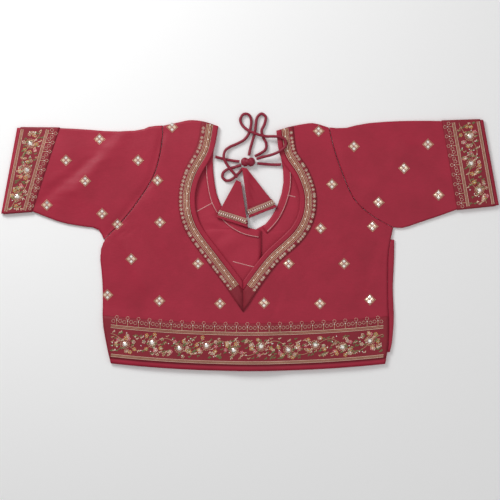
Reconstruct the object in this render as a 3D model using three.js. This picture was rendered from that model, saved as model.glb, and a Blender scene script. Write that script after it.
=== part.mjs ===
// A choli blouse laid flat with its back uppermost: millimetres, +X to the right, +Y to the
// shoulders, +Z up. The fronts lie on the surface, the back lies on them, and each sleeve is
// a flattened tube. Lace, facings and bindings lie on the panels that carry them.
import * as THREE from 'three';

// Walls and clearances
const CLOTH = 1.2; // one layer of lined silk
const LACE = 0.8; // lace, facing and binding
const GAP = 0.3; // between sewn pieces
const TRIM = GAP + LACE; // how far a trim stands off its panel
const SEAM = 0.8; // between a sleeve's seam line and its armhole, measured across

// Body
const HEM = -183; // level of the hem before it bows
const SHOULDER = 180; // level of the shoulder line before it bows
const HEM_BOW = { centre: -6, side: 5.2, half: 208 };
const NECK_TIP = { x: -10.7, y: -54 };
const HEM_LACE = { low: HEM + 8, high: HEM + 71 };
const NECK_TRIM = { edge: 7.4, lace: 7.7, outside: 25, clear: 0.5 };
const FACING = 12; // width of the facing inside the front neck
const LAP = { from: -6, to: 16.5, lift: 2.6, fall: 36 }; // where the left front laps the right
const SIDE_STRIP = { low: -166, high: 8 };
const HOOKS = { count: 4, top: 8, pitch: 28, x: 5, width: 9, height: 6 };

// Dori and latkans
const DORI = 4.2; // diameter of the ties
const DORI_STEP = 8.4;
const DORI_SIDES = 8;
const KNOT = { x: -3, y: 124.5, z: 5.7, length: 12.5, width: 7.4, height: 5.5 };
const LATKAN_WALL = 1;

const SILK = { color: 0xa01c34, roughness: 0.55, metalness: 0 };
const SILK_DARK = { color: 0x86182c, roughness: 0.6, metalness: 0 };
const GOLD = { color: 0xc79a6b, roughness: 0.45, metalness: 0.5 };
const STEEL = { color: 0xb9b9b4, roughness: 0.35, metalness: 1 };

// Seam lines, from the top down
const ARMHOLE = {
  left: [
    { x: -130.5, y: 180 }, { x: -132.5, y: 148 }, { x: -143, y: 106 }, { x: -164, y: 71 },
    { x: -190, y: 37 }, { x: -219, y: 8 },
  ],
  right: [
    { x: 118.5, y: 180 }, { x: 128, y: 139 }, { x: 141, y: 101 }, { x: 157, y: 67 },
    { x: 184, y: 43 }, { x: 215, y: 26 },
  ],
};
const SIDE = {
  left: [
    { x: -219, y: 8 }, { x: -225, y: -14 }, { x: -222, y: -50 }, { x: -221, y: -86 },
    { x: -221, y: -122 }, { x: -215, y: -158 }, { x: -209, y: HEM },
  ],
  right: [
    { x: 215, y: 26 }, { x: 208, y: -10 }, { x: 207, y: -46 }, { x: 207, y: -82 },
    { x: 208, y: -118 }, { x: 207.5, y: -154 }, { x: 203, y: HEM },
  ],
};
const SIDE_FOLD = [
  { x: 216.6, y: 12 }, { x: 216.5, y: -20 }, { x: 214.5, y: -66 }, { x: 216, y: -112 },
  { x: 213.5, y: -150 }, { x: 209.5, y: -168 },
];
const SHOULDER_LINE = {
  left: [
    { x: -131, y: 179 }, { x: -108, y: 184 }, { x: -90, y: 187.5 }, { x: -70, y: 185.5 },
    { x: -47, y: 178 },
  ],
  right: [
    { x: 40, y: 171.5 }, { x: 62, y: 178 }, { x: 90, y: 183 }, { x: 104, y: 181 },
    { x: 119, y: 176 },
  ],
};
const BACK_NECK = {
  left: [
    { x: -47.5, y: 180 }, { x: -55.5, y: 138 }, { x: -76, y: 100 }, { x: -82.5, y: 66 },
    { x: -74, y: 31 }, { x: -45, y: -9.5 }, NECK_TIP,
  ],
  right: [
    { x: 39.5, y: 180 }, { x: 46, y: 133 }, { x: 66, y: 100 }, { x: 75, y: 66 },
    { x: 64, y: 29 }, { x: 22, y: -12 }, NECK_TIP,
  ],
};
const FRONT_NECK = {
  left: [
    { x: -47.5, y: 180 }, { x: -55.5, y: 136 }, { x: -54, y: 100 }, { x: -47, y: 67 },
    { x: -31, y: 43 }, { x: -9, y: 28 }, { x: LAP.to, y: 22 },
  ],
  right: [
    { x: 39.5, y: 180 }, { x: 47, y: 130 }, { x: 50.5, y: 100 }, { x: 46.5, y: 74 },
    { x: 35, y: 47 }, { x: 18, y: 27 }, { x: LAP.from, y: 19 },
  ],
};
// Sleeve edges, from the armhole to the top of the cuff lace, then the cuff's two ends
const SLEEVE = {
  left: {
    top: [
      { x: -150, y: 178 }, { x: -166, y: 172.5 }, { x: -206, y: 170.5 }, { x: -246, y: 173.5 },
      { x: -286, y: 175.5 },
    ],
    under: [
      { x: -229, y: 24 }, { x: -255, y: 28.5 }, { x: -285, y: 34.5 }, { x: -327, y: 50.5 },
    ],
    cuff: [{ x: -349.5, y: 176 }, { x: -373.5, y: 47 }],
  },
  right: {
    top: [
      { x: 142, y: 175.5 }, { x: 170, y: 182 }, { x: 210, y: 185.5 }, { x: 250, y: 186.5 },
      { x: 288, y: 186 },
    ],
    under: [
      { x: 231, y: 26 }, { x: 255, y: 34 }, { x: 285, y: 44 }, { x: 311, y: 53.5 },
    ],
    cuff: [{ x: 350, y: 188 }, { x: 373.5, y: 60 }],
  },
};
// The largest folds of the upper layer: a ridge where the height is positive
const FOLDS = [
  { x1: -262, y1: 82, x2: -195, y2: 158, height: 2.0, width: 18 },
  { x1: -318, y1: 64, x2: -232, y2: 138, height: -1.3, width: 14 },
  { x1: -196, y1: 16, x2: -158, y2: -62, height: 1.2, width: 22 },
  { x1: 132, y1: 2, x2: 164, y2: -72, height: 1.4, width: 20 },
  { x1: 192, y1: 6, x2: 176, y2: -58, height: -0.9, width: 14 },
  { x1: 168, y1: 66, x2: 238, y2: 148, height: 1.3, width: 22 },
];
const SWELL = { height: 1.6, reach: 42 }; // fullness away from the outline
// Soft folds inside the fronts, where the back's neck leaves them bare
const INNER_FOLDS = [
  { x1: -58, y1: 40, x2: -26, y2: -4, height: 1.7, width: 7 },
  { x1: 52, y1: 52, x2: 24, y2: 8, height: 1.3, width: 6 },
];

// Routes of the ties, from where each leaves the neck edge or the knot
const DORI_ROUTES = {
  dori_left_tie: [
    [-52, 132.2, 4.4], [-44, 130.3, 2.8], [-36, 128.4, 2.2], [-26, 126.6, 2.5], [-16.2, 125.4, 5],
  ],
  dori_left_loop: [
    [-13.6, 119.8, 4.2], [-22, 117.2, 2.4], [-32, 114.4, 2.2], [-39.5, 109.5, 2.2],
    [-41.5, 102.5, 2.2], [-36.5, 97, 2.2], [-29.5, 97.5, 2.2], [-22, 103, 2.2],
    [-15, 110, 2.4], [-10.4, 115.2, 3.4],
  ],
  dori_left_end: [
    [9.6, 129, 6.6], [20, 132, 6.8], [32, 135, 8.4], [44, 140, 9.8], [53, 148, 10],
    [52.5, 157, 10], [45, 161.8, 9.8], [34, 162.6, 8.4], [24, 162.8, 6.8], [14, 165, 6.8],
    [4, 168.6, 6.8], [-5, 173.5, 5.4], [-12, 180.5, 3], [-14.5, 189, 2.2], [-9.5, 196.5, 2.2],
    [-1.5, 195.5, 2.2], [1.8, 187, 2.2], [1, 177, 2.2], [-2.5, 166, 2.2], [-9.5, 157.5, 2.2],
    [-20, 151.8, 2.2], [-30, 147.4, 2.6], [-37.2, 141.5, 4.2], [-39.4, 133, 6.6],
    [-36.5, 124, 6.7], [-31, 115.6, 6.7], [-24.5, 107.8, 6.7], [-18.6, 101.6, 6.4],
  ],
  dori_right_tie: [
    [47, 120.8, 4.2], [38, 120.6, 2.8], [28, 121, 2.3], [19, 121.8, 3], [11, 122.4, 4.6],
  ],
  dori_right_loop: [
    [-1.6, 134.4, 4], [0.5, 145, 2.3], [4, 157, 2.2], [7.5, 170, 2.2], [9, 182, 2.2],
    [11, 192, 2.2], [17.5, 197.2, 2.2], [23.6, 192, 2.2], [21.6, 181, 2.2], [17.4, 171.6, 2.2],
    [19.8, 162, 2.2], [24.2, 153, 2.2], [23.6, 144, 2.2], [16.5, 138, 2.4], [7.6, 133.4, 4.4],
  ],
};
// Latkans: the ends of the apex and of the open base, left end first
const LATKANS = {
  left: {
    apex: [{ x: -20.6, y: 97.4 }, { x: -13.6, y: 94.4 }],
    base: [{ x: -51, y: 41.5 }, { x: -3, y: 26 }],
    floor: (x, y) => 3.8 + lapLift(x) * smooth((64 - y) / 14),
  },
  right: {
    apex: [{ x: -12, y: 116.4 }, { x: -4.6, y: 114.6 }],
    base: [{ x: -1.5, y: 40.5 }, { x: 40.5, y: 57 }],
    floor: (x) => 3.8 + 3 * smooth((4 - x) / 8),
  },
};
const LATKAN_TRIM = { from: 0.8, to: 0.92 }; // part of the cone's length that its lace takes

// ---------- Helpers ----------
function smooth(t) {
  const u = Math.min(Math.max(t, 0), 1);
  return u * u * (3 - 2 * u);
}

function mix(a, b, t) {
  return { x: a.x + (b.x - a.x) * t, y: a.y + (b.y - a.y) * t };
}

function spline(rows) {
  return new THREE.SplineCurve(rows.map(({ x, y }) => new THREE.Vector2(x, y)));
}

// The x of a line that always runs downwards, at the height y
function xAt(points, y) {
  let k = 0;
  while (k < points.length - 2 && points[k + 1].y > y) k += 1;
  const [a, b] = [points[k], points[k + 1]];
  return a.x + (b.x - a.x) * Math.min(Math.max((a.y - y) / (a.y - b.y), 0), 1);
}

function distanceTo(points, x, y) {
  let best = Infinity;
  for (let k = 0; k + 1 < points.length; k += 1) {
    best = Math.min(best, distanceToSegment(points[k], points[k + 1], x, y));
  }
  return best;
}

function distanceToSegment(a, b, x, y) {
  const [dx, dy] = [b.x - a.x, b.y - a.y];
  const along = ((x - a.x) * dx + (y - a.y) * dy) / (dx * dx + dy * dy);
  const t = Math.min(Math.max(along, 0), 1);
  return Math.hypot(x - a.x - dx * t, y - a.y - dy * t);
}

function foldHeight(folds, x, y) {
  return folds.reduce((sum, fold) => {
    const a = { x: fold.x1, y: fold.y1 };
    const b = { x: fold.x2, y: fold.y2 };
    const across = distanceToSegment(a, b, x, y) / fold.width;
    return sum + fold.height * Math.exp(-across * across);
  }, 0);
}

// ---------- Lines of the pattern ----------
const SAMPLES = 120;
const sampled = (rows) => spline(rows).getPoints(SAMPLES);
const sides = ['left', 'right'];
const perSide = (make) => Object.fromEntries(sides.map((side) => [side, make(side)]));
const armhole = perSide((side) => sampled(ARMHOLE[side]));
const sideSeam = perSide((side) => sampled(SIDE[side]));
const outerLine = perSide((side) => [...armhole[side], ...sideSeam[side].slice(1)]);
const backNeck = perSide((side) => sampled(BACK_NECK[side]));
const frontNeck = perSide((side) => sampled(FRONT_NECK[side]));
const shoulderLine = perSide((side) => sampled(SHOULDER_LINE[side]));
const sideFold = sampled(SIDE_FOLD);

// The hem and the shoulders bow away from their level lines, and the rest fades between them
function settle({ x, y }) {
  const line = shoulderLine[x < 0 ? 'left' : 'right'];
  const byX = line.map((p) => ({ x: p.y, y: -p.x }));
  const top = xAt(byX, -x) - SHOULDER;
  const spread = Math.min(Math.abs(x) / HEM_BOW.half, 1.05);
  const bottom = HEM_BOW.centre + (HEM_BOW.side - HEM_BOW.centre) * spread * spread;
  return { x, y: y + top * smooth((y - 110) / 66) + bottom * smooth((-38 - y) / 72) };
}

const SLEEVE_ROWS = 9; // from the armhole to the lace
const LACE_ROWS = 4; // across the lace and the plain edge of the cuff
const SLEEVE_COLUMNS = 12;

// A sleeve's plan: s runs from the armhole, 0, to the lace, 1, and to the cuff, 2
function sleevePlan(side) {
  const seam = new THREE.SplineCurve(armhole[side].map((p) => {
    const { x, y } = settle(p);
    return new THREE.Vector2(x + (side === 'left' ? -SEAM : SEAM), y + SEAM / 2);
  }));
  const { top, under, cuff } = SLEEVE[side];
  const [start, end] = [seam.getPointAt(0), seam.getPointAt(1)];
  const upper = spline([start, ...top]);
  const lower = spline([end, ...under]);
  const [topEnd, underEnd] = [top.at(-1), under.at(-1)];
  return (s, w) => {
    if (s > 1) return mix(mix(topEnd, underEnd, w), mix(cuff[0], cuff[1], w), s - 1);
    const a = seam.getPointAt(Math.min(Math.max(w, 0), 1));
    const across = mix(a, mix(topEnd, underEnd, w), s);
    const [u, l] = [upper.getPoint(s), lower.getPoint(s)];
    const chordU = mix(start, topEnd, s);
    const chordL = mix(end, underEnd, s);
    const x = across.x + (u.x - chordU.x) * (1 - w) + (l.x - chordL.x) * w;
    const y = across.y + (u.y - chordU.y) * (1 - w) + (l.y - chordL.y) * w;
    return { x, y };
  };
}
const sleeve = perSide(sleevePlan);

// The outline of the whole garment, without its neck
const outline = sides.flatMap((side) => {
  const plan = sleeve[side];
  const steps = [...Array(13).keys()].map((k) => k / 6);
  return [
    ...shoulderLine[side].slice().sort((a, b) => Math.abs(a.x) - Math.abs(b.x)),
    ...steps.map((s) => plan(s, 0)), ...steps.reverse().map((s) => plan(s, 1)),
    ...(side === 'right' ? sideFold : sideSeam.left).map(settle),
  ];
});

// ---------- Heights ----------
// Fullness and folds of the upper layer, none at the outline
function rise(x, y) {
  const fullness = SWELL.height + foldHeight(FOLDS, x, y);
  return Math.max(fullness, 0) * smooth(distanceTo(outline, x, y) / SWELL.reach);
}

// The fronts lie on the surface, lifted by the lace beneath their hem
const overLace = (y) => TRIM * smooth((HEM_LACE.high + 20 - y) / 18);
const lapLift = (x) => {
  const middle = (LAP.from + LAP.to) / 2;
  const half = (LAP.to - LAP.from) / 2 + 5;
  return LAP.lift * (1 - smooth((Math.abs(x - middle) - half) / LAP.fall));
};
const neckDistance = (x, y) => Math.min(...sides.map((side) => distanceTo(frontNeck[side], x, y)));
// Bare folds fade out before they reach the back's neck edge or a facing
function innerFold(x, y) {
  const side = x < NECK_TIP.x ? 'left' : 'right';
  const room = Math.abs(xAt(backNeck[side], y) - x) * (y > NECK_TIP.y ? 1 : 0);
  const inside = side === 'left' ? x > xAt(backNeck.left, y) : x < xAt(backNeck.right, y);
  const bare = smooth((room - 9) / 14) * smooth((neckDistance(x, y) - FACING - 2) / 8);
  return inside ? foldHeight(INNER_FOLDS, x, y) * bare : 0;
}
const front = {
  left: {
    lower: (x, y) => overLace(y) + lapLift(x) + innerFold(x, y),
    upper: (x, y) => front.left.lower(x, y) + CLOTH,
  },
  right: {
    lower: (x, y) => overLace(y) + innerFold(x, y) * smooth((x - LAP.to - 1) / 12),
    upper: (x, y) => front.right.lower(x, y) + CLOTH,
  },
};
const overFacing = (x, y) => TRIM * (1 - smooth((neckDistance(x, y) - FACING - 2) / 34));
const back = {
  lower: (x, y) => (
    overLace(y) + lapLift(x) + CLOTH + GAP + overFacing(x, y) + rise(x, y)
  ),
  upper: (x, y) => back.lower(x, y) + CLOTH,
};

// ---------- Solids ----------
function net(columns, rows, place) {
  const points = [];
  const cells = [];
  const at = (i, j) => j * (columns + 1) + i;
  for (let j = 0; j <= rows; j += 1) {
    for (let i = 0; i <= columns; i += 1) points.push(place(i / columns, j / rows, i, j));
  }
  for (let j = 0; j < rows; j += 1) {
    for (let i = 0; i < columns; i += 1) {
      cells.push([at(i, j), at(i + 1, j), at(i + 1, j + 1), at(i, j + 1)]);
    }
  }
  return { points, cells };
}

// Two nets as one, with the points that they share
function sew(a, b) {
  const key = ({ x, y }) => `${x.toFixed(3)} ${y.toFixed(3)}`;
  const points = [...a.points];
  const known = new Map(a.points.map((point, k) => [key(point), k]));
  const moved = b.points.map((point) => {
    if (!known.has(key(point))) known.set(key(point), points.push(point) - 1);
    return known.get(key(point));
  });
  return { points, cells: [...a.cells, ...b.cells.map((cell) => cell.map((k) => moved[k]))] };
}

function solid(position, index) {
  let volume = 0;
  const corner = (k) => new THREE.Vector3().fromArray(position, 3 * k);
  for (let k = 0; k < index.length; k += 3) {
    const [a, b, c] = [0, 1, 2].map((n) => corner(index[k + n]));
    volume += a.dot(b.cross(c));
  }
  const geometry = new THREE.BufferGeometry();
  geometry.setAttribute('position', new THREE.Float32BufferAttribute(position, 3));
  geometry.setIndex(volume > 0 ? index : [...index].reverse());
  geometry.computeVertexNormals();
  return geometry;
}

function isLeftTurning(cell, points) {
  const [a, b, c, d] = cell.map((k) => points[k]);
  return (c.x - a.x) * (d.y - b.y) - (c.y - a.y) * (d.x - b.x) > 0;
}

// A wall of cloth on a net, between a lower and an upper height
function wall({ points, cells }, lower, upper) {
  const count = points.length;
  const position = [];
  const index = [];
  const rim = new Map();
  for (const height of [upper, lower]) {
    for (const { x, y } of points) position.push(x, y, height(x, y));
  }
  for (const cell of cells) {
    const loop = isLeftTurning(cell, points) ? cell : [...cell].reverse();
    const [a, b, c, d] = loop;
    index.push(a, b, c, a, c, d);
    index.push(a + count, c + count, b + count, a + count, d + count, c + count);
    loop.forEach((from, k) => {
      const to = loop[(k + 1) % 4];
      if (!rim.delete(`${to} ${from}`)) rim.set(`${from} ${to}`, [from, to]);
    });
  }
  for (const [from, to] of rim.values()) {
    index.push(from, from + count, to + count, from, to + count, to);
  }
  return solid(position, index);
}

// A flattened tube, open at both ends: ring(j, isInner) gives the points of one section
function tube(rows, ring) {
  const rings = [];
  for (const isInner of [false, true]) {
    for (let j = 0; j <= rows; j += 1) rings.push(ring(j, isInner));
  }
  const around = rings[0].length;
  const position = rings.flatMap((points) => points.flatMap(({ x, y, z }) => [x, y, z]));
  const index = [];
  const band = (j, k) => {
    for (let i = 0; i < around; i += 1) {
      const next = (i + 1) % around;
      const [a, b] = [j * around + i, j * around + next];
      const [c, d] = [k * around + next, k * around + i];
      index.push(a, b, c, a, c, d);
    }
  };
  for (let j = 0; j < rows; j += 1) {
    band(j, j + 1);
    band(rows + 2 + j, rows + 1 + j);
  }
  band(rows + 1, 0);
  band(rows, 2 * rows + 1);
  return solid(position, index);
}

// One section of a flattened tube: the upper layer out, the lower layer back
function section(plan, s, spread, upper, lower, columns) {
  const [a, b] = [plan(s, 0), plan(s, 1)];
  const extra = spread / Math.hypot(a.x - b.x, a.y - b.y);
  const points = [...Array(columns + 1).keys()].map((k) => {
    const w = k / columns;
    const { x, y } = plan(s, w);
    const reach = extra * (2 * w - 1);
    return { x: x + (b.x - a.x) * reach, y: y + (b.y - a.y) * reach };
  });
  return [
    ...points.map(({ x, y }) => ({ x, y, z: upper(x, y) })),
    ...points.reverse().map(({ x, y }) => ({ x, y, z: lower(x, y) })),
  ];
}

// ---------- Pieces ----------
const piece = new THREE.Group();
function add(name, geometry, look) {
  const mesh = new THREE.Mesh(geometry, new THREE.MeshStandardMaterial(look));
  mesh.name = name;
  piece.add(mesh);
}

// Levels of a panel's rows, between its landmarks
function levels(marks) {
  return marks.flatMap(({ y, rows }, k) => {
    if (k === 0) return [y];
    const from = marks[k - 1].y;
    return [...Array(rows).keys()].map((n) => from + ((y - from) * (n + 1)) / rows);
  });
}

function halfPanel(side, rows, columns, innerX) {
  return net(columns, rows.length - 1, (u, v, i, j) => {
    const y = rows[j];
    const outer = xAt(outerLine[side], y);
    return settle({ x: outer + (innerX(y) - outer) * u, y });
  });
}

function makeBack() {
  const rows = levels([
    { y: HEM }, { y: HEM_LACE.high, rows: 4 }, { y: NECK_TIP.y, rows: 4 },
    { y: 26, rows: 5 }, { y: SHOULDER, rows: 11 },
  ]);
  const centre = (side) => (y) => {
    if (y > NECK_TIP.y) return xAt(backNeck[side], y);
    return NECK_TIP.x * smooth((y - HEM) / (NECK_TIP.y - HEM));
  };
  const halves = sides.map((side) => halfPanel(side, rows, 13, centre(side)));
  add('back', wall(sew(...halves), back.lower, back.upper), SILK);
}

function makeFront(side) {
  const edge = side === 'left' ? LAP.to : LAP.from;
  const neckFoot = FRONT_NECK[side].at(-1).y;
  const rows = levels([
    { y: HEM }, { y: HEM_LACE.high, rows: 3 }, { y: neckFoot, rows: 7 },
    { y: neckFoot + 3, rows: 2 }, { y: 60, rows: 4 }, { y: SHOULDER, rows: 7 },
  ]);
  const inner = (y) => (y > neckFoot ? xAt(frontNeck[side], y) : edge);
  const { lower, upper } = front[side];
  add(`front_${side}`, wall(halfPanel(side, rows, 10, inner), lower, upper), SILK_DARK);
}

// The turned side of the right front, beside the back's edge
function makeSideStrip() {
  const strip = net(2, 12, (u, v) => {
    const y = SIDE_STRIP.low + (SIDE_STRIP.high - SIDE_STRIP.low) * v;
    const inner = xAt(sideSeam.right, y) + GAP + 0.1;
    return settle({ x: inner + (xAt(sideFold, y) - inner) * u, y });
  });
  const upper = (x, y) => {
    const out = (x - xAt(sideSeam.right, y)) / 9;
    return overLace(y) + 2 * CLOTH + GAP - 0.9 * out * out;
  };
  add('side_strip_right', wall(strip, () => 0, upper), SILK_DARK);
}

function makeSleeve(side) {
  const plan = sleeve[side];
  const stations = [
    ...[...Array(SLEEVE_ROWS).keys()].map((k) => k / SLEEVE_ROWS),
    ...[...Array(LACE_ROWS + 1).keys()].map((k) => 1 + k / LACE_ROWS),
  ];
  const floor = (s) => TRIM * smooth((s - 0.72) / 0.24);
  const ring = (s, spread, out) => section(
    plan, s, spread,
    (x, y) => floor(s) + 2 * CLOTH + GAP + rise(x, y) + out,
    () => floor(s) - out, SLEEVE_COLUMNS,
  );
  const shell = tube(stations.length - 1, (j, isInner) => (
    ring(stations[j], isInner ? -CLOTH : 0, isInner ? -CLOTH : 0)
  ));
  add(`sleeve_${side}`, shell, SILK);
  const lace = tube(LACE_ROWS, (j, isInner) => {
    const out = isInner ? GAP : TRIM;
    return ring(1 + 0.92 * (j / LACE_ROWS), out, out);
  });
  add(`cuff_lace_${side}`, lace, GOLD);
}

function makeHemLace() {
  const { low, high } = HEM_LACE;
  const run = (leftX, rightX, columns) => net(columns, 3, (u, v) => {
    const y = low + (high - low) * v;
    const [from, to] = [leftX(y), rightX(y)];
    return settle({ x: from + (to - from) * u, y });
  });
  const inset = 0.6;
  const leftX = (y) => xAt(outerLine.left, y) + inset;
  const rightX = (y) => xAt(outerLine.right, y) - inset;
  const middle = { left: () => LAP.to - inset, right: () => LAP.to + inset };
  const onBack = run(leftX, rightX, 26);
  add('hem_lace_back', wall(
    onBack, (x, y) => back.upper(x, y) + GAP, (x, y) => back.upper(x, y) + TRIM,
  ), GOLD);
  add('hem_lace_front_left', wall(run(leftX, () => LAP.from - inset, 9), () => 0, () => LACE), GOLD);
  add('hem_lace_front_right', wall(run(middle.right, rightX, 9), () => 0, () => LACE), GOLD);
}

// A strip beside a neck edge, between two distances from it, mitred at the foot
function neckStrip(line, side, near, far, steps, foot) {
  const curve = new THREE.SplineCurve(line);
  const outward = (t) => {
    const tangent = curve.getTangentAt(t);
    const turn = side === 'left' ? 1 : -1;
    return { x: tangent.y * turn, y: -tangent.x * turn };
  };
  const mitre = foot ?? outward(1);
  return net(2, steps, (u, v) => {
    const point = curve.getPointAt(v);
    const out = v === 1 ? mitre : outward(v);
    const reach = near + (far - near) * u;
    const y = v === 0 ? point.y : point.y + out.y * reach;
    return settle({ x: point.x + out.x * reach, y });
  });
}

function makeNeckTrim() {
  const foot = (side) => {
    const other = side === 'left' ? 'right' : 'left';
    const away = (name) => {
      const line = backNeck[name];
      const [a, b] = [line.at(-4), line.at(-1)];
      const length = Math.hypot(b.x - a.x, b.y - a.y);
      const turn = name === 'left' ? 1 : -1;
      return { x: ((b.y - a.y) / length) * turn, y: (-(b.x - a.x) / length) * turn };
    };
    const [mine, theirs] = [away(side), away(other)];
    const share = 1 + mine.x * theirs.x + mine.y * theirs.y;
    return { x: (mine.x + theirs.x) / share, y: (mine.y + theirs.y) / share };
  };
  for (const side of sides) {
    const apart = side === 'left' ? -0.2 : 0.2;
    const line = backNeck[side].map((p) => new THREE.Vector2(p.x + apart, p.y));
    const binding = neckStrip(line, side, 0, NECK_TRIM.edge, 30, foot(side));
    const lace = neckStrip(line, side, NECK_TRIM.lace, NECK_TRIM.outside, 30, foot(side));
    const on = (strip) => wall(
      strip, (x, y) => back.upper(x, y) + NECK_TRIM.clear,
      (x, y) => back.upper(x, y) + NECK_TRIM.clear + LACE,
    );
    add(`neck_binding_${side}`, on(binding), SILK_DARK);
    add(`neck_lace_${side}`, on(lace), GOLD);
    const inside = frontNeck[side].filter((p) => side === 'left' || p.x > LAP.to + 1);
    const facing = neckStrip(
      inside.map((p) => new THREE.Vector2(p.x, p.y)), side, 0, FACING, 20,
    );
    const { upper } = front[side];
    add(`neck_facing_${side}`, wall(
      facing, (x, y) => upper(x, y) + GAP, (x, y) => upper(x, y) + TRIM,
    ), SILK_DARK);
  }
}

// Flat hooks between the laps of the front
function makeHooks() {
  for (let k = 0; k < HOOKS.count; k += 1) {
    const y = HOOKS.top - HOOKS.pitch * k;
    const floor = front.right.upper(HOOKS.x, y - HOOKS.height) + GAP;
    const hook = new THREE.BoxGeometry(HOOKS.width, HOOKS.height, LACE);
    hook.translate(HOOKS.x, y, floor + LACE / 2);
    add(`hook_${k + 1}`, hook, STEEL);
  }
}

function makeDori() {
  const round = new THREE.Shape();
  for (let k = 0; k < DORI_SIDES; k += 1) {
    const turn = (2 * Math.PI * k) / DORI_SIDES;
    const [x, y] = [(DORI / 2) * Math.cos(turn), (DORI / 2) * Math.sin(turn)];
    if (k === 0) round.moveTo(x, y);
    else round.lineTo(x, y);
  }
  round.closePath();
  for (const [name, route] of Object.entries(DORI_ROUTES)) {
    const path = new THREE.CatmullRomCurve3(route.map((p) => new THREE.Vector3(...p)));
    const steps = Math.round(path.getLength() / DORI_STEP);
    const cord = new THREE.ExtrudeGeometry(round, { extrudePath: path, steps });
    add(name, cord, SILK_DARK);
  }
  const knot = new THREE.SphereGeometry(1, 14, 10);
  knot.scale(KNOT.length, KNOT.width, KNOT.height);
  knot.translate(KNOT.x, KNOT.y, KNOT.z);
  add('dori_knot', knot, SILK_DARK);
}

function makeLatkan(side) {
  const { apex, base, floor } = LATKANS[side];
  const plan = (s, w) => mix(mix(apex[0], apex[1], w), mix(base[0], base[1], w), s);
  const puff = (s) => 1.2 * Math.sin(Math.PI * Math.min(s * 0.9 + 0.1, 1)) + GAP;
  const ring = (s, spread, out) => section(
    plan, s, spread,
    (x, y) => floor(x, y) + 2 * LATKAN_WALL + puff(s) + out,
    (x, y) => floor(x, y) - out, 6,
  );
  const { from, to } = LATKAN_TRIM;
  const stations = [0, 0.2, 0.4, 0.6, from, to, 1];
  const cone = tube(stations.length - 1, (j, isInner) => {
    const out = isInner ? -LATKAN_WALL : 0;
    return ring(stations[j], out, out);
  });
  add(`latkan_${side}`, cone, SILK);
  const trim = tube(1, (j, isInner) => {
    const out = isInner ? GAP + 0.1 : TRIM;
    return ring([from, to][j], out, out);
  });
  add(`latkan_lace_${side}`, trim, GOLD);
}

makeBack();
sides.forEach(makeFront);
makeSideStrip();
sides.forEach(makeSleeve);
makeHemLace();
makeNeckTrim();
makeHooks();
makeDori();
sides.forEach(makeLatkan);

export default piece;
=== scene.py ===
"""A crimson choli blouse laid flat with its back uppermost, with gold lace, ties and latkans."""

import math
import random

import bmesh
import bpy
from bpy.props import FloatProperty, FloatVectorProperty, PointerProperty
from mathutils import Matrix, Vector
from mathutils.bvhtree import BVHTree


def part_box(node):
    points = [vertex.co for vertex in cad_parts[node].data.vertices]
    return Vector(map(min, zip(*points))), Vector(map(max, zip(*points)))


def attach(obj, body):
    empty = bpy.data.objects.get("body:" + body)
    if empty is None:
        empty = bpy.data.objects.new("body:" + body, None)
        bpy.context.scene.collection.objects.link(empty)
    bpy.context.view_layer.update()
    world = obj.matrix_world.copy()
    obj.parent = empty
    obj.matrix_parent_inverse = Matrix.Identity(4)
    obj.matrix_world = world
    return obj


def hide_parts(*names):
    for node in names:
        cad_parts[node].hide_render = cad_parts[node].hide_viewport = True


bl_info = {
    "name": "Choli blouse",
    "version": (1, 0, 0),
    "blender": (4, 5, 0),
    "location": "View3D > Sidebar > Blouse",
    "description": "Builds an embroidered choli blouse on its frame",
    "category": "Object",
}

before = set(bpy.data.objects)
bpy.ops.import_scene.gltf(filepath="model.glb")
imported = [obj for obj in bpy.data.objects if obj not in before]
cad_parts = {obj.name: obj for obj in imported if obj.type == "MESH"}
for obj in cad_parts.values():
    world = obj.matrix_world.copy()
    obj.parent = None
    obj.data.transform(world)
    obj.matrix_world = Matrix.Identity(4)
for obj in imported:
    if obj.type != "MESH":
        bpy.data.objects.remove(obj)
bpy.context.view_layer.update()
MM = 0.001
SIDES = ("left", "right")

# Seam lines and levels of the pattern, in millimetres
HEM_MIDDLE, HEM_BOW, HALF_HEM = -189, 11.2, 208
HEM_ENDS = (-208, 200)
NECK_TIP = (-10.7, -54)
BACK_NECK = {
    "left": [
        (-47.5, 178), (-55.5, 138), (-76, 100), (-82.5, 66), (-74, 31), (-45, -9.5), NECK_TIP,
    ],
    "right": [(39.5, 172), (46, 133), (66, 100), (75, 66), (64, 29), (22, -12), NECK_TIP],
}
FRONT_NECK = {
    "left": [(-55.5, 136), (-54, 100), (-47, 67), (-31, 43), (-9, 28), (16, 22)],
    "right": [(47, 130), (50.5, 100), (46.5, 74), (35, 47), (19, 28)],
}
CUFF = {"left": ((-349.5, 175), (-373, 48)), "right": ((350, 187), (373, 61))}
CUFF_TOP = {"left": ((-286, 174), (-326, 52)), "right": ((288, 184), (310.5, 55))}
BUTIS = [
    (-276, 127), (-226, 159), (-247, 96), (-305, 60), (-168, 127), (-222, 47), (-199, 31),
    (-117, 177), (-139, 97), (-135, 34), (-178, -21), (-78, -28), (-214, -75), (-136, -84),
    (-45, -88), (103, 171), (123, 91), (106, 25), (184, 28), (58, -28), (141, -28), (21, -87),
    (105, -88), (180, -82), (156, 148), (267, 151), (231, 115), (193, 64), (283, 75),
]
# Rows of gold along the hem: height over its edge and distance between the band's rows
HEM_BANDS = ((12.5, 1.7), (56, 2.0))
HEM_VINE, HEM_VINE_WIDTH = 16, 36
HEM_TREFOILS, HEM_TREFOIL_COUNT = (58.5, 74), 25
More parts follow.
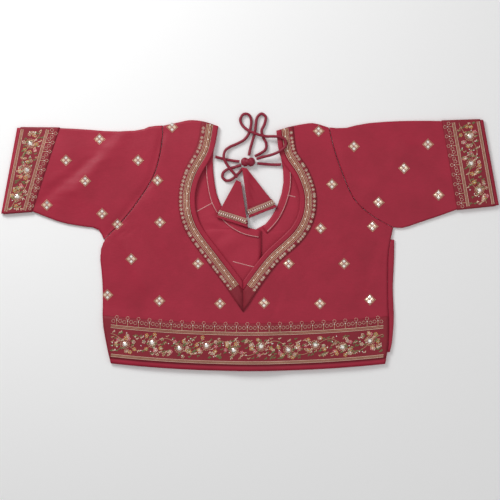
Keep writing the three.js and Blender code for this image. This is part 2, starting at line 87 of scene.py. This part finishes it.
# The same on the cuffs, where a level is a share of the way from the cuff's edge to its lace's top
CUFF_BANDS = ((0.13, 1.7), (0.73, 1.8))
CUFF_VINE, CUFF_VINE_WIDTH, CUFF_LACE_WIDTH = 0.18, 31, 60
CUFF_VINE_START, CUFF_VINE_LENGTH, CUFF_LENGTH = 0.02, 126, 132
CUFF_TREFOILS, CUFF_TREFOIL_COUNT = (0.76, 1.0), 9
# Rows beside the back neck: distance from its edge, thread, and a stitch's length and width
NECK_ROWS = (
    (8.6, "pale_gold", 1.9, 1.3), (10.9, "gold", 2.2, 1.9), (13.2, "pale_gold", 2.4, 1.8),
    (15.6, "gold", 2.2, 1.9), (17.6, "pale_gold", 1.8, 1.2),
)
NECK_LOOPS, NECK_LOOP_PITCH = 21.6, 6.1
NECK_SEQUINS, NECK_SEQUIN_PITCH = 12.2, 11
FACING_SEAM = 10.4
# Short seams sewn across the inside of the fronts
INNER_SEAMS = {
    "left": ([(-81, 50), (-57, 63)], [(-25, -25), (6, -33)]),
    "right": ([(57, 75), (69, 72)],),
}
LATKAN_BASES = {"left": ((-46.5, 48.5), (-5, 35.5)), "right": ((-2, 49), (36, 64.5))}
LATKAN_ROWS = (-3.4, -1.9, 1.9, 3.4)
FLOWER_PITCH = 41.0
DORI_WIDTH = 4.2
DORI_ROUTES = {
    "dori_left_tie": [
        (-52, 132.2, 4.4), (-44, 130.3, 2.8), (-36, 128.4, 2.2), (-26, 126.6, 2.5),
        (-16.2, 125.4, 5),
    ],
    "dori_left_loop": [
        (-13.6, 119.8, 4.2), (-22, 117.2, 2.4), (-32, 114.4, 2.2), (-39.5, 109.5, 2.2),
        (-41.5, 102.5, 2.2), (-36.5, 97, 2.2), (-29.5, 97.5, 2.2), (-22, 103, 2.2),
        (-15, 110, 2.4), (-10.4, 115.2, 3.4),
    ],
    "dori_left_end": [
        (9.6, 129, 6.6), (20, 132, 6.8), (32, 135, 8.4), (44, 140, 9.8), (53, 148, 10),
        (52.5, 157, 10), (45, 161.8, 9.8), (34, 162.6, 8.4), (24, 162.8, 6.8), (14, 165, 6.8),
        (4, 168.6, 6.8), (-5, 173.5, 5.4), (-12, 180.5, 3), (-14.5, 189, 2.2),
        (-9.5, 196.5, 2.2), (-1.5, 195.5, 2.2), (1.8, 187, 2.2), (1, 177, 2.2),
        (-2.5, 166, 2.2), (-9.5, 157.5, 2.2), (-20, 151.8, 2.2), (-30, 147.4, 2.6),
        (-37.2, 141.5, 4.2), (-39.4, 133, 6.6), (-36.5, 124, 6.7), (-31, 115.6, 6.7),
        (-24.5, 107.8, 6.7), (-18.6, 101.6, 6.4),
    ],
    "dori_right_tie": [
        (47, 120.8, 4.2), (38, 120.6, 2.8), (28, 121, 2.3), (19, 121.8, 3), (11, 122.4, 4.6),
    ],
    "dori_right_loop": [
        (-1.6, 134.4, 4), (0.5, 145, 2.3), (4, 157, 2.2), (7.5, 170, 2.2), (9, 182, 2.2),
        (11, 192, 2.2), (17.5, 197.2, 2.2), (23.6, 192, 2.2), (21.6, 181, 2.2),
        (17.4, 171.6, 2.2), (19.8, 162, 2.2), (24.2, 153, 2.2), (23.6, 144, 2.2),
        (16.5, 138, 2.4), (7.6, 133.4, 4.4),
    ],
}
# The bow knot's wraps: shift along it and turn, and its share of a full wrap's width
KNOT_WRAPS = ((-0.0045, 0.25, 1.0), (0.0045, -0.3, 1.0), (0.0, 1.45, 0.8))
KNOT_WRAP = (0.0062, 0.0068, 0.0046)
KNOT_STEP = 0.0004
# Fine creases: two ends, height and width, in millimetres
CREASES = [
    (-318, 62, -228, 142, -1.2, 7), (-262, 82, -190, 165, 1.2, 9), (-300, 95, -215, 150, 0.7, 6),
    (-131, 168, -152, 92, -1.0, 5), (-152, 92, -215, 16, -1.2, 6), (-150, 67, -127, 0, 0.8, 7),
    (-178, 40, -140, -20, -0.7, 6), (-196, 16, -158, -62, 0.8, 8), (67, 0, 80, -50, -0.7, 2.4),
    (80, -50, 97, -108, -0.6, 2.4), (46, -70, 35, -104, -0.6, 4), (-4, -86, 4, -110, -0.6, 5),
    (132, 2, 164, -72, 0.9, 8), (150, 10, 182, -40, -0.7, 6), (192, 6, 176, -58, -0.6, 6),
    (126, 160, 141, 101, -0.8, 4), (141, 101, 184, 43, -0.8, 5), (168, 66, 238, 148, 0.8, 9),
    (250, 60, 296, 150, -0.5, 8), (-60, 60, -30, 12, -0.9, 5), (-52, 30, -18, -22, 0.8, 5),
    (50, 62, 28, 14, 0.8, 5),
]
# Creases are taken above a level, and sink less where the cloth has little room under it
UPPER_LAYER, CUFF_UPPER_LAYER, EVERY_LAYER = 2.3, 3, -1
LOW_CLOTH, LOW_SINK, SINK = 2.8, -0.25, -1.3

# The stage, in metres and watts
SENSOR = 36
CLOTH_LEVEL, VIEW_CENTRE, FLOOR_LEVEL = 0.005, -0.0075, -0.0005
LAMPS = (
    ("key", (-0.8, 1.0, 0.9), 15, 0.6), ("fill", (1.2, -0.4, 1.4), 4, 1.4),
    ("top", (0, 0, 2.4), 7, 2.0),
)
WORLD_LIGHT = 0.36
OVER_THE_CLOTH = 0.1


class Shade:
    """One socket in a material, with the operators that its maths uses."""

    def __init__(self, material, socket):
        self.material, self.socket = material, socket

    def node(self, kind, settings=None, **inputs):
        node = self.material.node_tree.nodes.new(kind)
        for key, value in (settings or {}).items():
            setattr(node, key, value)
        for key, value in inputs.items():
            number = key[1:]
            place = node.inputs[int(number) if number.isdigit() else key.replace("_", " ")]
            if isinstance(value, Shade):
                self.material.node_tree.links.new(value.socket, place)
            else:
                place.default_value = value
        return node

    def wrap(self, node, name=0):
        return Shade(self.material, node.outputs[name])

    def maths(self, operation, a, b):
        return self.wrap(self.node("ShaderNodeMath", {"operation": operation}, i0=a, i1=b))

    def __add__(self, other):
        return self.maths("ADD", self, other)

    def __mul__(self, other):
        return self.maths("MULTIPLY", self, other)


def mixed(shade, factor, a, b):
    """One colour turning into another."""
    node = shade.node("ShaderNodeMix", {"data_type": "RGBA"}, i0=factor, i6=a, i7=b)
    return shade.wrap(node, 2)


def material(name, dark, light, rough, metal=0.0, sheen=0.0, slub=0.0, fine=700, bump=0.2):
    """A thread or cloth with a mottled tone, a fine weave and a soft sheen."""
    found = bpy.data.materials.get(name)
    if found:
        return found
    made = bpy.data.materials.new(name)
    made.use_nodes = True
    shader = made.node_tree.nodes["Principled BSDF"]
    base = Shade(made, shader.outputs[0])
    place = base.wrap(base.node("ShaderNodeTexCoord"), "Object")
    stretch = base.wrap(base.node("ShaderNodeMapping", i0=place, i3=(0.25, 1.6, 1.0)))
    broad = base.wrap(base.node("ShaderNodeTexNoise", i0=place, Scale=28.0, Detail=3.0))
    thread = base.wrap(base.node("ShaderNodeTexNoise", i0=stretch, Scale=float(fine), Detail=4.0))
    tone = broad * 0.6 + thread * 0.4
    colour = mixed(base, tone, (*dark, 1), (*light, 1))
    links = made.node_tree.links
    links.new(colour.socket, shader.inputs["Base Color"])
    raised = base.node("ShaderNodeBump", i0=bump, i1=0.0006 + slub, Height=thread)
    links.new(raised.outputs[0], shader.inputs["Normal"])
    roughness = thread * 0.16 + (rough - 0.08)
    links.new(roughness.socket, shader.inputs["Roughness"])
    shader.inputs["Metallic"].default_value = metal
    shader.inputs["Sheen Weight"].default_value = sheen
    shader.inputs["Sheen Roughness"].default_value = 0.4
    shader.inputs["Sheen Tint"].default_value = (1.0, 0.35, 0.42, 1)
    shader.inputs["Specular IOR Level"].default_value = 0.35
    return made


LOOKS = {
    "silk": dict(
        name="crimson_silk", dark=(0.25, 0.006, 0.022), light=(0.45, 0.016, 0.05), rough=0.5,
        sheen=0.06, slub=0.0004, fine=520,
    ),
    "wrong_side": dict(
        name="silk_wrong_side", dark=(0.3, 0.01, 0.03), light=(0.48, 0.024, 0.06), rough=0.6,
        sheen=0.06, fine=520,
    ),
    "ground": dict(
        name="lace_ground", dark=(0.17, 0.006, 0.018), light=(0.32, 0.02, 0.035), rough=0.62,
        fine=900,
    ),
    "rolled_silk": dict(
        name="rolled_silk", dark=(0.17, 0.006, 0.02), light=(0.33, 0.016, 0.045), rough=0.5,
        sheen=0.08, fine=900,
    ),
    "gold": dict(
        name="gold_thread", dark=(0.42, 0.24, 0.12), light=(0.82, 0.58, 0.4), rough=0.36,
        metal=0.55, fine=1500, bump=0.5,
    ),
    "pale_gold": dict(
        name="pale_gold", dark=(0.6, 0.42, 0.28), light=(0.95, 0.78, 0.62), rough=0.3,
        metal=0.5, fine=1500,
    ),
    "sequin": dict(
        name="sequin", dark=(0.75, 0.7, 0.62), light=(0.98, 0.95, 0.9), rough=0.16,
        metal=0.85, fine=300, bump=0.05,
    ),
    "green": dict(
        name="green_silk_thread", dark=(0.08, 0.11, 0.03), light=(0.24, 0.28, 0.12), rough=0.6,
        fine=1500,
    ),
    "yellow": dict(
        name="yellow_silk_thread", dark=(0.5, 0.26, 0.07), light=(0.8, 0.48, 0.18), rough=0.55,
        fine=1500,
    ),
    "pink": dict(
        name="pink_silk_thread", dark=(0.62, 0.14, 0.16), light=(0.85, 0.33, 0.34), rough=0.55,
        fine=1500,
    ),
    "stitch": dict(
        name="pale_stitching", dark=(0.62, 0.3, 0.3), light=(0.86, 0.55, 0.52), rough=0.7,
        fine=1500,
    ),
    "steel": dict(
        name="hook_steel", dark=(0.45, 0.45, 0.44), light=(0.62, 0.62, 0.6), rough=0.3,
        metal=1.0, fine=300, bump=0.05,
    ),
}
THREADS = ("gold", "pale_gold", "sequin", "green", "yellow", "pink", "stitch")


def publish(mesh_tree, name, looks):
    """A piece of the blouse from its mesh, riding on the frame."""
    mesh = bpy.data.meshes.new(name)
    mesh_tree.to_mesh(mesh)
    mesh_tree.free()
    piece = bpy.data.objects.new(name, mesh)
    bpy.context.scene.collection.objects.link(piece)
    for look in looks:
        mesh.materials.append(material(**LOOKS[look]))
    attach(piece, "root")
    return piece


def crease_height(x, y):
    """How far the creases lift or sink the cloth at a place."""
    total = 0.0
    for x1, y1, x2, y2, height, width in CREASES:
        dx, dy = x2 - x1, y2 - y1
        along = ((x - x1) * dx + (y - y1) * dy) / (dx * dx + dy * dy)
        t = min(max(along, 0.0), 1.0)
        away = math.hypot(x - x1 - dx * t, y - y1 - dy * t) / width
        if away < 3:
            total += height * math.exp(-away * away)
    return total


def make_cloth(node, look, cuts, crease_from=None):
    """A finer shell on a cut piece's own form, with creases in what lies above a level."""
    tree = bmesh.new()
    tree.from_mesh(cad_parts[node].data)
    bmesh.ops.remove_doubles(tree, verts=tree.verts, dist=1e-6)
    for _ in range(cuts):
        bmesh.ops.subdivide_edges(tree, edges=tree.edges, cuts=1, use_grid_fill=True, smooth=0.0)
    if crease_from is not None:
        for vert in tree.verts:
            if vert.co.z > crease_from * MM:
                lift = crease_height(vert.co.x / MM, vert.co.y / MM)
                lowest = LOW_SINK if vert.co.z < LOW_CLOTH * MM else SINK
                vert.co.z += max(lift, lowest) * MM
    for face in tree.faces:
        face.smooth = True
    piece = publish(tree, node + "_cloth", [look])
    piece.data.set_sharp_from_angle(angle=math.radians(50))
    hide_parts(node)
    return piece


class Relief:
    """Stitches and sequins laid on the cloth below them."""

    def __init__(self, pieces):
        self.tree = bmesh.new()
        self.surfaces = []
        for piece in pieces:
            surface = bmesh.new()
            surface.from_mesh(piece.data)
            self.surfaces.append(BVHTree.FromBMesh(surface))
            surface.free()

    def top(self, x, y):
        """The highest cloth under a place, and the way it faces."""
        best = None
        start, down = Vector((x * MM, y * MM, OVER_THE_CLOTH)), Vector((0, 0, -1))
        for surface in self.surfaces:
            hit, normal, _, _ = surface.ray_cast(start, down)
            if hit and (best is None or hit.z > best[0].z):
                best = (hit, normal)
        return best

    def bead(self, x, y, length, width, turn, thread, height=0.5, sides=6):
        """One stitch or sequin, leaning as the cloth does."""
        found = self.top(x, y)
        if not found:
            return
        hit, normal = found
        lean = Vector((0, 0, 1)).rotation_difference(normal).to_matrix().to_4x4()
        spin = Matrix.Rotation(turn, 4, "Z")
        size = Matrix.Diagonal((length / 2 * MM, width / 2 * MM, height * MM, 1))
        rise = Matrix.Translation((0, 0, height * MM / 2))
        place = Matrix.Translation(hit) @ lean @ spin @ rise @ size
        made = bmesh.ops.create_cone(
            self.tree, cap_ends=True, cap_tris=False, segments=sides,
            radius1=1.0, radius2=0.62, depth=1.0, matrix=place,
        )
        index = THREADS.index(thread)
        for face in {face for vert in made["verts"] for face in vert.link_faces}:
            face.material_index = index

    def ring(self, x, y, radius, count, length, width, thread):
        """Stitches round a circle."""
        for k in range(count):
            turn = 2 * math.pi * k / count
            self.bead(
                x + radius * math.cos(turn), y + radius * math.sin(turn), length, width,
                turn + math.pi / 2, thread,
            )

    def run(self, points, pitch, length, width, thread, lean=0.0):
        """A row of stitches along a line."""
        walked = 0.0
        for a, b in zip(points, points[1:]):
            step = math.hypot(b[0] - a[0], b[1] - a[1])
            turn = math.atan2(b[1] - a[1], b[0] - a[0])
            while walked < step:
                t = walked / step
                x, y = a[0] + (b[0] - a[0]) * t, a[1] + (b[1] - a[1]) * t
                self.bead(x, y, length, width, turn + lean, thread)
                walked += pitch
            walked -= step

    def finish(self, name, slot):
        return publish(self.tree, name, THREADS)


def relief_on(*nodes):
    """Relief to be sewn on the cloth of some pieces."""
    return Relief([bpy.data.objects[node + "_cloth"] for node in nodes])


def curve_points(rows, steps=14):
    """A smooth line through a few points."""
    ends = [rows[0], *rows, rows[-1]]
    line = []
    for a, b, c, d in zip(ends, ends[1:], ends[2:], ends[3:]):
        for k in range(steps):
            t = k / steps
            line.append(tuple(
                0.5 * (2 * q + (r - p) * t + (2 * p - 5 * q + 4 * r - s) * t * t
                       + (3 * q - p - 3 * r + s) * t ** 3)
                for p, q, r, s in zip(a, b, c, d)
            ))
    return line + [tuple(rows[-1])]


def beside(line, side, distance):
    """A line moved off a neck edge on to the cloth."""
    turn = 1 if side == "left" else -1
    moved = []
    for k, (x, y) in enumerate(line):
        a, b = line[max(k - 1, 0)], line[min(k + 1, len(line) - 1)]
        size = math.hypot(b[0] - a[0], b[1] - a[1])
        right, up = (b[1] - a[1]) / size * turn * distance, (b[0] - a[0]) / size * turn * distance
        moved.append((x + right, y - up))
    middle = NECK_TIP[0]
    if side == "left":
        return [p for p in moved if p[0] < middle or p[1] > 0]
    return [p for p in moved if p[0] > middle or p[1] > 0]


def hem_point(x, height):
    """A point at a height above the hem's edge."""
    return (x, HEM_MIDDLE + HEM_BOW * (x / HALF_HEM) ** 2 + height)


def cuff_point(side, across, along):
    """A point on a cuff's lace: across from the cuff edge, along from its top."""
    (ax, ay), (bx, by) = CUFF[side]
    (cx, cy), (dx, dy) = CUFF_TOP[side]
    low = (ax + (bx - ax) * along, ay + (by - ay) * along)
    high = (cx + (dx - cx) * along, cy + (dy - cy) * along)
    return (low[0] + (high[0] - low[0]) * across, low[1] + (high[1] - low[1]) * across)


def trefoil(relief, base, tip):
    """Three gold loops on a short stem, with a sequin between them."""
    dx, dy = tip[0] - base[0], tip[1] - base[1]
    turn = math.atan2(dy, dx)
    size = math.hypot(dx, dy)
    relief.run([base, (base[0] + dx * 0.4, base[1] + dy * 0.4)], 1.2, 1.4, 1.4, "gold")
    for swing, reach in ((-1.25, 0.52), (0.0, 0.78), (1.25, 0.52)):
        x = base[0] + size * reach * math.cos(turn + swing * 0.55)
        y = base[1] + size * reach * math.sin(turn + swing * 0.55)
        relief.ring(x, y, size * 0.15, 7, 1.5, 1.1, "pale_gold")
    relief.bead(base[0] + dx * 0.5, base[1] + dy * 0.5, 2.2, 2.2, 0, "sequin", sides=8)


def flower(relief, x, y, radius):
    """A round mirror in a thread ring with small petals."""
    relief.bead(x, y, radius * 0.95, radius * 0.95, 0, "sequin", 0.6, 10)
    relief.ring(x, y, radius * 0.62, 12, 2.2, 1.3, "pale_gold")
    relief.ring(x, y, radius * 0.95, 14, 2.6, 1.5, "gold")


def floral_band(relief, place, length, width, seed):
    """A running vine between mirror flowers; place maps along and across to the cloth."""
    draw = random.Random(seed)
    count = max(round(length / FLOWER_PITCH), 1)
    pitch = length / count
    vine = []
    for k in range(count * 16 + 1):
        s = k / 16
        vine.append(place(s * pitch, width * (0.5 + 0.3 * math.cos(math.pi * s))))
    relief.run(vine, 1.5, 1.8, 1.1, "gold")
    for k in range(count):
        low = k % 2 == 0
        centre = place((k + 0.5) * pitch, width * (0.42 if low else 0.58))
        flower(relief, *centre, 7.0)
        for swing in range(10):
            turn = draw.uniform(0, 2 * math.pi)
            reach = draw.uniform(10.5, 15)
            across = width * (0.42 if low else 0.58) + reach * math.sin(turn) * 0.9
            if not 2.5 < across < width - 2.5:
                continue
            x, y = place((k + 0.5) * pitch + reach * math.cos(turn) * 1.15, across)
            thread = ("yellow", "pink", "pale_gold", "yellow", "gold")[swing % 5]
            relief.ring(x, y, 2.1, 5, 2.5, 1.9, thread)
            relief.bead(x, y, 1.9, 1.9, 0, "sequin", 0.7, 8)
        for leaf in range(34):
            along = (k + draw.random()) * pitch
            across = width * draw.uniform(0.08, 0.92)
            x, y = place(along, across)
            thread = ("green", "green", "gold", "pale_gold")[leaf % 4]
            turn = draw.uniform(0, math.pi)
            for offset in (-0.5, 0.5):
                relief.bead(x + offset * 2, y + offset, 4.0, 1.5, turn + offset, thread)
        for _ in range(6):
            x, y = place((k + draw.random()) * pitch, width * draw.uniform(0.1, 0.9))
            relief.bead(x, y, 2.4, 2.4, draw.random(), "sequin", 0.8, 8)


def parallel(line, offset):
    """A line moved sideways by the same distance all along."""
    moved = []
    for k, (x, y) in enumerate(line):
        a, b = line[max(k - 1, 0)], line[min(k + 1, len(line) - 1)]
        size = math.hypot(b[0] - a[0], b[1] - a[1]) or 1
        across, up = -(b[1] - a[1]) / size, (b[0] - a[0]) / size
        moved.append((x + across * offset, y + up * offset))
    return moved


def gold_band(relief, line, apart):
    """A gold row with a paler one on each side."""
    for offset in (-apart, 0, apart):
        thread = "pale_gold" if offset else "gold"
        relief.run(parallel(line, offset), 1.5, 1.9, 1.2, thread, 0.35)


class BlouseSettings(bpy.types.PropertyGroup):
    """Sizes and colours that a user would change."""

    camera_height: FloatProperty(
        name="Camera height", description="Height of the lens over the cloth",
        default=2.0, unit="LENGTH",
    )
    view_width: FloatProperty(
        name="View width", description="Width that the camera takes in",
        default=0.75, unit="LENGTH",
    )
    buti_size: FloatProperty(
        name="Motif size", description="Width of one diamond motif",
        default=0.0165, unit="LENGTH",
    )
    floor_colour: FloatVectorProperty(
        name="Floor", description="Colour of the floor",
        default=(0.93, 0.93, 0.93), subtype="COLOR",
    )


class BLOUSE_OT_stage(bpy.types.Operator):
    """Camera, floor and soft lights"""

    bl_idname = "blouse.stage"
    bl_label = "Stage"

    def execute(self, context):
        settings = context.scene.blouse
        camera = bpy.data.objects.new("camera", bpy.data.cameras.new("camera"))
        context.scene.collection.objects.link(camera)
        camera.location = (0, 0, settings.camera_height)
        camera.data.sensor_width = SENSOR
        camera.data.lens = SENSOR * (settings.camera_height - CLOTH_LEVEL) / settings.view_width
        camera.location.y = VIEW_CENTRE
        context.scene.camera = camera
        tree = bmesh.new()
        bmesh.ops.create_grid(tree, x_segments=2, y_segments=2, size=3)
        mesh = bpy.data.meshes.new("floor")
        tree.to_mesh(mesh)
        tree.free()
        floor = bpy.data.objects.new("floor", mesh)
        floor.location.z = FLOOR_LEVEL
        context.scene.collection.objects.link(floor)
        paint = bpy.data.materials.new("pale_floor")
        paint.use_nodes = True
        shader = paint.node_tree.nodes["Principled BSDF"]
        shader.inputs["Base Color"].default_value = (*settings.floor_colour, 1)
        shader.inputs["Roughness"].default_value = 0.9
        mesh.materials.append(paint)
        for name, place, power, size in LAMPS:
            lamp = bpy.data.objects.new(name, bpy.data.lights.new(name, "AREA"))
            lamp.data.energy, lamp.data.size = power, size
            lamp.location = place
            lamp.rotation_euler = Vector(place).to_track_quat("Z", "Y").to_euler()
            context.scene.collection.objects.link(lamp)
        world = bpy.data.worlds.new("studio")
        world.use_nodes = True
        sky = world.node_tree.nodes["Background"]
        sky.inputs["Color"].default_value = (1, 1, 1, 1)
        sky.inputs["Strength"].default_value = WORLD_LIGHT
        context.scene.world = world
        context.scene.view_settings.view_transform = "Standard"
        return {"FINISHED"}


class BLOUSE_OT_dori(bpy.types.Operator):
    """The two ties, their bow knot and the latkans' cloth"""

    bl_idname = "blouse.dori"
    bl_label = "Ties and latkans"

    def execute(self, context):
        for side in SIDES:
            make_cloth(f"latkan_{side}", "silk", 2)
            make_cloth(f"latkan_lace_{side}", "ground", 1)
        knot = self.make_knot()
        for name, route in DORI_ROUTES.items():
            curve = bpy.data.curves.new(name, "CURVE")
            curve.dimensions = "3D"
            curve.bevel_depth = DORI_WIDTH / 2 * MM
            curve.bevel_resolution = 3
            curve.use_fill_caps = True
            line = curve_points(route, 5)
            spline = curve.splines.new("POLY")
            spline.points.add(len(line) - 1)
            for point, place in zip(spline.points, line):
                point.co = (*[value * MM for value in place], 1)
            spline.use_smooth = True
            piece = bpy.data.objects.new(name + "_silk", curve)
            context.scene.collection.objects.link(piece)
            curve.materials.append(material(**LOOKS["rolled_silk"]))
            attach(piece, "root")
            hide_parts(name)
            steps = zip(line, line[1:])
            length = sum((Vector(b) - Vector(a)).length for a, b in steps) * MM
        return {"FINISHED"}

    def make_knot(self):
        """Three wraps of the tie, one over the other two."""
        low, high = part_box("dori_knot")
        centre = (low + high) / 2
        tree = bmesh.new()
        width, depth, height = KNOT_WRAP
        for shift, tilt, span in KNOT_WRAPS:
            made = bmesh.ops.create_uvsphere(tree, u_segments=20, v_segments=14, radius=1.0)
            shape = Matrix.Diagonal((width * span, depth, height, 1))
            turn = Matrix.Rotation(tilt, 4, "Z")
            step = KNOT_STEP if shift == 0 else -KNOT_STEP
            place = Matrix.Translation(centre + Vector((shift, 0, step)))
            bmesh.ops.transform(tree, matrix=place @ turn @ shape, verts=made["verts"])
        for face in tree.faces:
            face.smooth = True
        knot = publish(tree, "bow_knot", ["rolled_silk"])
        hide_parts("dori_knot")
        return knot


class BLOUSE_OT_panels(bpy.types.Operator):
    """The back, fronts and sleeves, with their creases"""

    bl_idname = "blouse.panels"
    bl_label = "Panels"

    def execute(self, context):
        for node in ("back", "sleeve_left", "sleeve_right"):
            make_cloth(node, "silk", 2, UPPER_LAYER)
        for side in SIDES:
            make_cloth(f"front_{side}", "wrong_side", 2)
        make_cloth("side_strip_right", "silk", 1)
        return {"FINISHED"}


class BLOUSE_OT_trims(bpy.types.Operator):
    """Lace grounds, bindings and facings"""

    bl_idname = "blouse.trims"
    bl_label = "Trims"

    def execute(self, context):
        make_cloth("hem_lace_back", "ground", 2, EVERY_LAYER)
        for side in SIDES:
            make_cloth(f"hem_lace_front_{side}", "ground", 1)
            make_cloth(f"cuff_lace_{side}", "ground", 2, CUFF_UPPER_LAYER)
            make_cloth(f"neck_binding_{side}", "silk", 1, EVERY_LAYER)
            make_cloth(f"neck_lace_{side}", "ground", 1, EVERY_LAYER)
            make_cloth(f"neck_facing_{side}", "wrong_side", 1)
        return {"FINISHED"}


class BLOUSE_OT_hem_embroidery(bpy.types.Operator):
    """The hem's gold bands, floral vine and trefoils"""

    bl_idname = "blouse.hem_embroidery"
    bl_label = "Hem embroidery"

    def execute(self, context):
        relief = relief_on("hem_lace_back", "back")
        left, right = HEM_ENDS
        span = [left + (right - left) * k / 60 for k in range(61)]
        for level, apart in HEM_BANDS:
            gold_band(relief, [hem_point(x, level) for x in span], apart)

        def vine_place(along, across):
            return hem_point(left + along, HEM_VINE + across)

        floral_band(relief, vine_place, right - left, HEM_VINE_WIDTH, 4)
        pitch = (right - left) / HEM_TREFOIL_COUNT
        base, tip = HEM_TREFOILS
        for k in range(HEM_TREFOIL_COUNT):
            x = left + (k + 0.5) * pitch
            trefoil(relief, hem_point(x, base), hem_point(x, tip))
        relief.finish("hem_embroidery", "gold_lace")
        return {"FINISHED"}


class BLOUSE_OT_cuff_embroidery(bpy.types.Operator):
    """The cuffs' gold bands, floral vine and trefoils"""

    bl_idname = "blouse.cuff_embroidery"
    bl_label = "Cuff embroidery"

    def execute(self, context):
        for side in SIDES:
            relief = relief_on(f"cuff_lace_{side}", f"sleeve_{side}")
            steps = [0.015 + 0.97 * k / 24 for k in range(25)]
            for level, apart in CUFF_BANDS:
                gold_band(relief, [cuff_point(side, level, t) for t in steps], apart)

            def vine_place(along, across):
                level = CUFF_VINE + across / CUFF_LACE_WIDTH
                return cuff_point(side, level, CUFF_VINE_START + along / CUFF_LENGTH)

            seed = 9 if side == "left" else 12
            floral_band(relief, vine_place, CUFF_VINE_LENGTH, CUFF_VINE_WIDTH, seed)
            base, tip = CUFF_TREFOILS
            for k in range(CUFF_TREFOIL_COUNT):
                t = (k + 0.5) / CUFF_TREFOIL_COUNT
                trefoil(relief, cuff_point(side, base, t), cuff_point(side, tip, t))
            relief.finish(f"cuff_embroidery_{side}", "gold_lace")
        return {"FINISHED"}


class BLOUSE_OT_neck_embroidery(bpy.types.Operator):
    """The back neck's gold rows and loops, and the facings' stitching"""

    bl_idname = "blouse.neck_embroidery"
    bl_label = "Neck embroidery"

    def execute(self, context):
        for side in SIDES:
            relief = relief_on(f"neck_lace_{side}", "back")
            edge = curve_points(BACK_NECK[side])
            for distance, thread, length, width in NECK_ROWS:
                relief.run(beside(edge, side, distance), 1.9, length, width, thread, 0.5)
            loops = beside(edge, side, NECK_LOOPS)
            walked = 0.0
            for a, b in zip(loops, loops[1:]):
                walked += math.hypot(b[0] - a[0], b[1] - a[1])
                if walked >= NECK_LOOP_PITCH:
                    walked -= NECK_LOOP_PITCH
                    relief.ring(*b, 1.9, 8, 1.6, 1.1, "pale_gold")
                    relief.bead(*b, 2.2, 2.2, 0, "sequin", 0.6, 8)
            sequins = beside(edge, side, NECK_SEQUINS)
            relief.run(sequins, NECK_SEQUIN_PITCH, 2.6, 2.6, "sequin")
            relief.finish(f"neck_embroidery_{side}", "gold_lace")
            seam = relief_on(f"neck_facing_{side}", f"front_{side}")
            line = curve_points(FRONT_NECK[side])
            seam.run(beside(line, side, FACING_SEAM), 1.9, 1.5, 1.6, "stitch", 1.2)
            for row in INNER_SEAMS[side]:
                seam.run(row, 1.8, 1.7, 1.5, "stitch", 1.2)
            seam.finish(f"facing_stitching_{side}", "silk")
        return {"FINISHED"}


class BLOUSE_OT_butis(bpy.types.Operator):
    """Small diamonds of four sequins, scattered over the back and sleeves"""

    bl_idname = "blouse.butis"
    bl_label = "Diamond motifs"

    def execute(self, context):
        relief = relief_on("back", "sleeve_left", "sleeve_right")
        reach = context.scene.blouse.buti_size / MM / 2
        for x, y in BUTIS:
            for k in range(4):
                turn = math.pi / 2 * k
                relief.bead(
                    x + reach * 0.44 * math.cos(turn), y + reach * 0.44 * math.sin(turn),
                    reach * 0.78, reach * 0.78, 0, "sequin" if k % 2 else "pale_gold", 0.7, 4,
                )
            rim = [(x + reach, y), (x, y + reach), (x - reach, y), (x, y - reach), (x + reach, y)]
            relief.run(rim, 1.7, 1.9, 1.0, "gold")
        relief.finish("diamond_motifs", "gold_lace")
        return {"FINISHED"}


class BLOUSE_OT_latkan_trim(bpy.types.Operator):
    """Gold bands and sequins on the latkans, and the hooks' steel"""

    bl_idname = "blouse.latkan_trim"
    bl_label = "Latkan trim"

    def execute(self, context):
        for side, ((ax, ay), (bx, by)) in LATKAN_BASES.items():
            relief = relief_on(f"latkan_lace_{side}", f"latkan_{side}")
            line = [(ax + (bx - ax) * k / 8, ay + (by - ay) * k / 8) for k in range(9)]
            for offset in LATKAN_ROWS:
                relief.run(parallel(line, offset), 1.6, 1.9, 1.2, "pale_gold", 0.4)
            relief.run(line, 3.4, 2.6, 2.6, "sequin")
            relief.finish(f"latkan_embroidery_{side}", "gold_lace")
        steel = material(**LOOKS["steel"])
        for name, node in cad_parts.items():
            if name.startswith("hook_"):
                node.data.materials.clear()
                node.data.materials.append(steel)
        return {"FINISHED"}


class BLOUSE_PT_panel(bpy.types.Panel):
    """The blouse's pieces"""

    bl_label = "Choli blouse"
    bl_idname = "BLOUSE_PT_panel"
    bl_space_type = "VIEW_3D"
    bl_region_type = "UI"
    bl_category = "Blouse"

    def draw(self, context):
        for field in BlouseSettings.__annotations__:
            self.layout.prop(context.scene.blouse, field)
        for operator in OPERATORS:
            self.layout.operator(operator.bl_idname)


OPERATORS = (
    BLOUSE_OT_stage, BLOUSE_OT_dori, BLOUSE_OT_panels, BLOUSE_OT_trims, BLOUSE_OT_hem_embroidery,
    BLOUSE_OT_cuff_embroidery, BLOUSE_OT_neck_embroidery, BLOUSE_OT_butis, BLOUSE_OT_latkan_trim,
)
CLASSES = (BlouseSettings, *OPERATORS, BLOUSE_PT_panel)


def register():
    for each in CLASSES:
        bpy.utils.register_class(each)
    bpy.types.Scene.blouse = PointerProperty(type=BlouseSettings)


def unregister():
    del bpy.types.Scene.blouse
    for each in reversed(CLASSES):
        bpy.utils.unregister_class(each)


def main():
    register()
    bpy.ops.blouse.stage()
    bpy.ops.blouse.dori()
    bpy.ops.blouse.panels()
    bpy.ops.blouse.trims()
    bpy.ops.blouse.hem_embroidery()
    bpy.ops.blouse.cuff_embroidery()
    bpy.ops.blouse.neck_embroidery()
    bpy.ops.blouse.butis()
    bpy.ops.blouse.latkan_trim()


if __name__ == "__main__":
    main()
